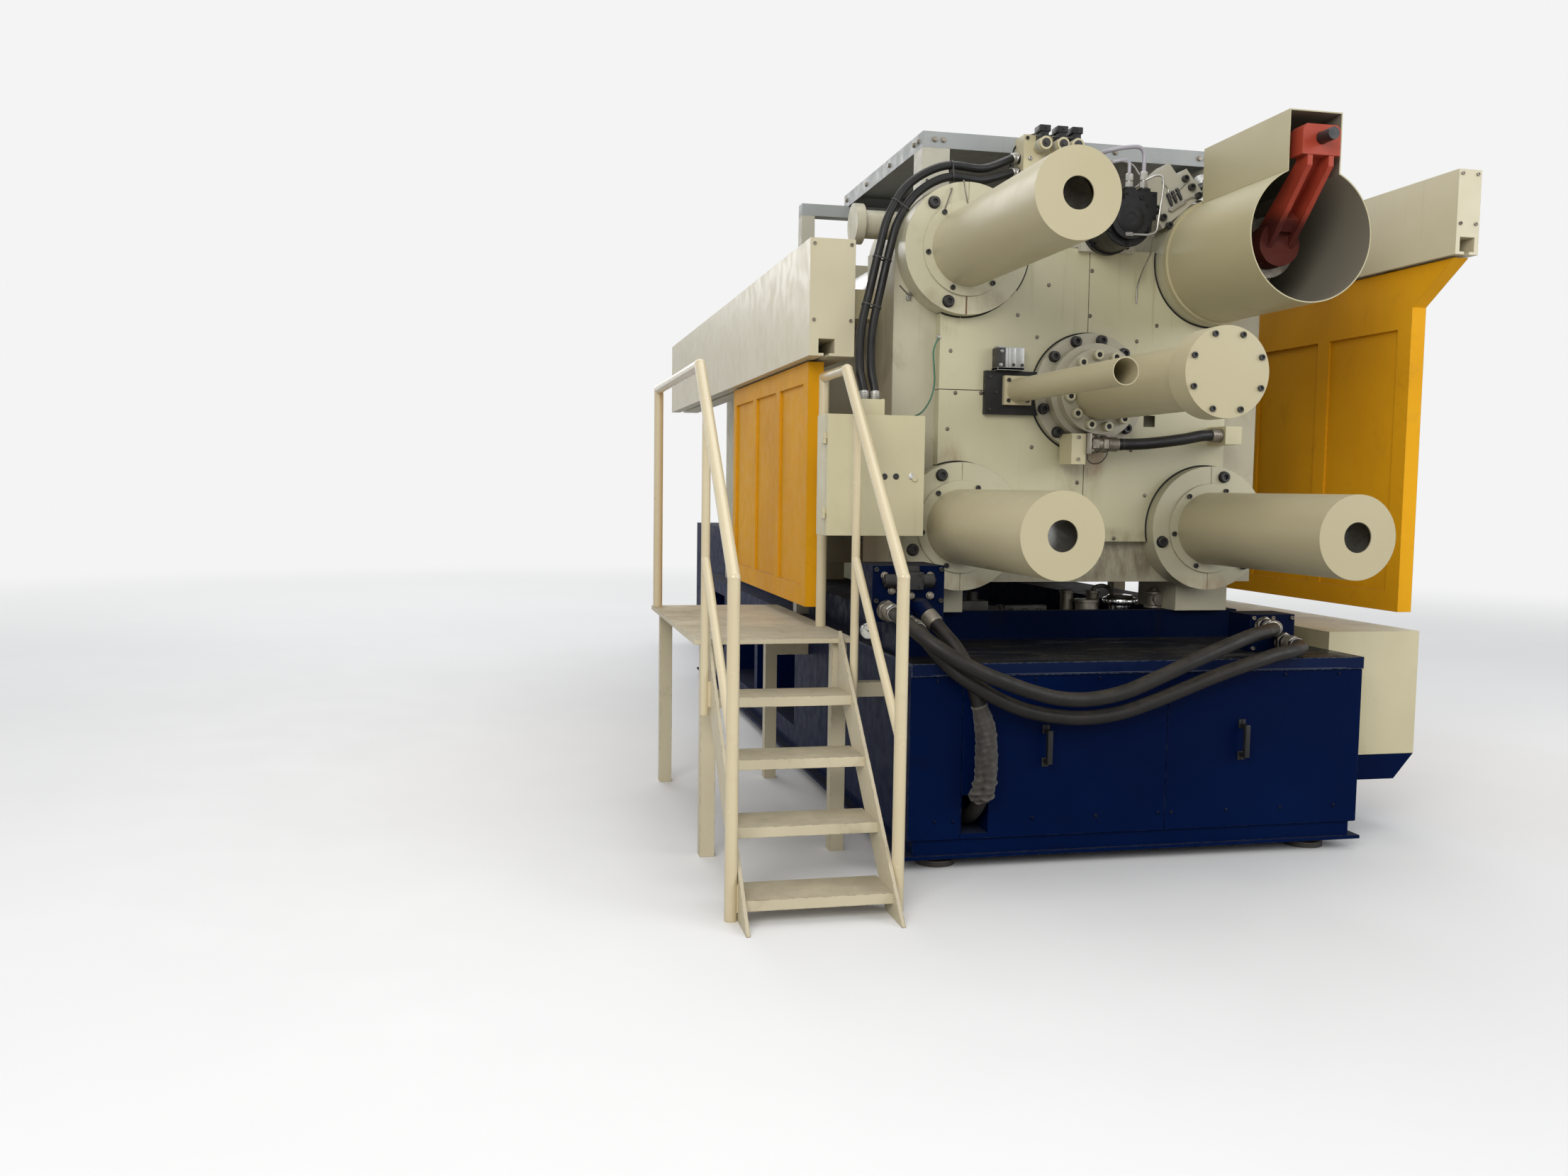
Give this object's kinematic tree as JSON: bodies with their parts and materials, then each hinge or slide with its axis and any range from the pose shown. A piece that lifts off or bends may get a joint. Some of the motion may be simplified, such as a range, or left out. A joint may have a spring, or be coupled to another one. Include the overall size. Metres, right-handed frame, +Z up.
{
  "type": "die casting machine",
  "caption": "Cold-chamber die casting machine with a toggle clamp on four tie bars, a hydraulic tie bar puller, guard doors, a blue base, ladder and shot end.",
  "frame": {"origin": "middle of the footprint, on the floor under the levelling pads", "axes": "X across the machine with the ladder on the -X side, +Y from the clamp end to the shot end, +Z up"},
  "size_m": [3.2934, 8.149, 3.064],
  "materials": {
    "cream_paint": "semi-gloss",
    "rail_paint": "gloss",
    "navy_paint": "gloss",
    "deck_steel": "satin",
    "black_paint": "satin",
    "machined_steel": "brushed",
    "ground_steel": "polished",
    "red_paint": "satin",
    "black_steel": "blackened",
    "aluminium": "satin",
    "yellow_paint": "semi-gloss",
    "hose_rubber": "matte",
    "sleeve_fabric": "matte"
  },
  "bodies": {
    "machine": {"base_tank": "navy_paint", "front_panels": "navy_paint", "deck_plate": "deck_steel", "skid_frame": "navy_paint", "levelling_pads": "black_paint", "main_bed": "navy_paint", "bed_rails": "navy_paint", "end_platen": "cream_paint", "platen_cover": "cream_paint", "platen_shoes": "machined_steel", "bar_flanges": "cream_paint", "bar_covers": "cream_paint", "puller_guard": "cream_paint", "slot_housing": "cream_paint", "pull_cylinder": "machined_steel", "fixed_tie_bars": "ground_steel", "tie_bar_nuts": "machined_steel", "clamp_hub": "cream_paint", "clamp_tail": "cream_paint", "clamp_cylinder": "machined_steel", "clamp_port_block": "cream_paint", "ratchet_plate": "black_paint", "ratchet_tube": "cream_paint", "latch_cylinder": "aluminium", "height_motor": "black_paint", "motor_shelf": "cream_paint", "valve_manifold": "cream_paint", "bar_lock_block": "cream_paint", "toggle_linkage": "machined_steel", "moving_platen": "cream_paint", "fixed_platen": "cream_paint", "injection_frame": "cream_paint", "shot_sleeve": "ground_steel", "shot_cylinder": "navy_paint", "accumulators": "navy_paint", "injection_base": "navy_paint", "roof_sheet": "cream_paint", "roof_posts": "cream_paint", "rail_beams": "cream_paint", "beam_brackets": "cream_paint", "side_cabinet": "cream_paint", "ladder": "rail_paint", "platform": "rail_paint", "handrails": "rail_paint", "side_tank": "navy_paint", "side_tank_cover": "cream_paint", "valve_stand": "navy_paint", "upper_supply_hose": "hose_rubber", "lower_supply_hose": "hose_rubber", "sleeved_hose": "sleeve_fabric", "clamp_supply_hose": "hose_rubber", "side_hoses": "hose_rubber"},
    "puller": {"puller_arm": "red_paint", "pull_rod": "black_steel", "pulled_tie_bar": "ground_steel"},
    "right_door": {"right_door": "yellow_paint"},
    "left_door": {"left_door": "yellow_paint"},
    "cabinet_door": {"cabinet_door": "cream_paint"}
  },
  "joints": [
    {"name": "tie_bar_pull", "type": "slide", "parent": "machine", "child": "puller", "axis": [0, -1, 0], "range_m": [0, 1]},
    {"name": "right_door_slide", "type": "slide", "parent": "machine", "child": "right_door", "axis": [0, 1, 0], "range_m": [0, 1.7]},
    {"name": "left_door_slide", "type": "slide", "parent": "machine", "child": "left_door", "axis": [0, 1, 0], "range_m": [0, 1.9]},
    {"name": "cabinet_door_hinge", "type": "hinge", "parent": "machine", "child": "cabinet_door", "pos_m": [-1.11125, -3.0855, 1.548], "axis": [0, 0, -1], "range_deg": [0, 50]}
  ]
}
